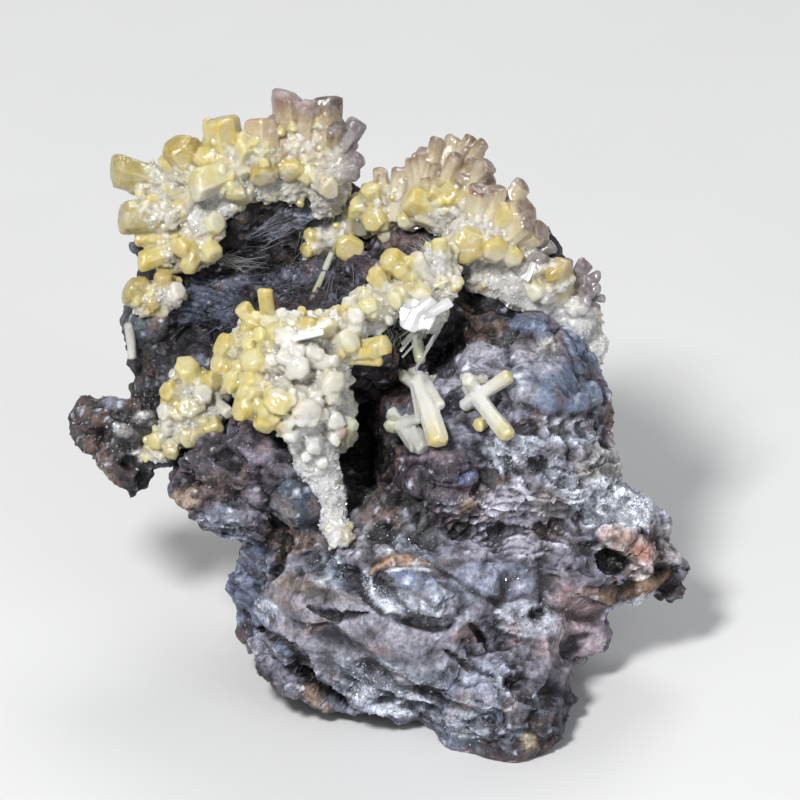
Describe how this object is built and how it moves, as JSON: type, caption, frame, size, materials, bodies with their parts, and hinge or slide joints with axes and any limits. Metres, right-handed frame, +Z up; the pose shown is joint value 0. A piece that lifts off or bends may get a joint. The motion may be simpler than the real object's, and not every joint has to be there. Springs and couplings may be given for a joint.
{
  "type": "mimetite specimen",
  "caption": "Loose mineral specimen: yellow six-sided mimetite crystals in pale crusts along the ridges of a dark, lumpy, ledged piece of rock that stands on a flat broken foot.",
  "frame": {"origin": "centre of the bounding box, at the height of the flat foot", "axes": "+Z up, +X to the viewer's right along the crests, -Y towards the viewer, whom the show face looks up at"},
  "size_m": [0.0474, 0.0374, 0.0403],
  "materials": {
    "matrix_stone": "rough, uneven dark iron-oxide stone",
    "yellow_mimetite": "resinous, translucent",
    "pale_mimetite": "resinous, translucent"
  },
  "bodies": {
    "root": {"matrix": "matrix_stone", "left_crest_cluster": "yellow_mimetite", "right_crest_cluster": "yellow_mimetite", "middle_ridge_cluster": "yellow_mimetite", "lower_left_cluster": "yellow_mimetite", "far_left_cluster": "yellow_mimetite", "left_edge_crystal": "yellow_mimetite", "round_crystal": "yellow_mimetite", "twin_crystal_left": "yellow_mimetite", "twin_crystal_right": "yellow_mimetite", "pale_needle": "pale_mimetite", "pale_crystal": "pale_mimetite"}
  },
  "joints": []
}
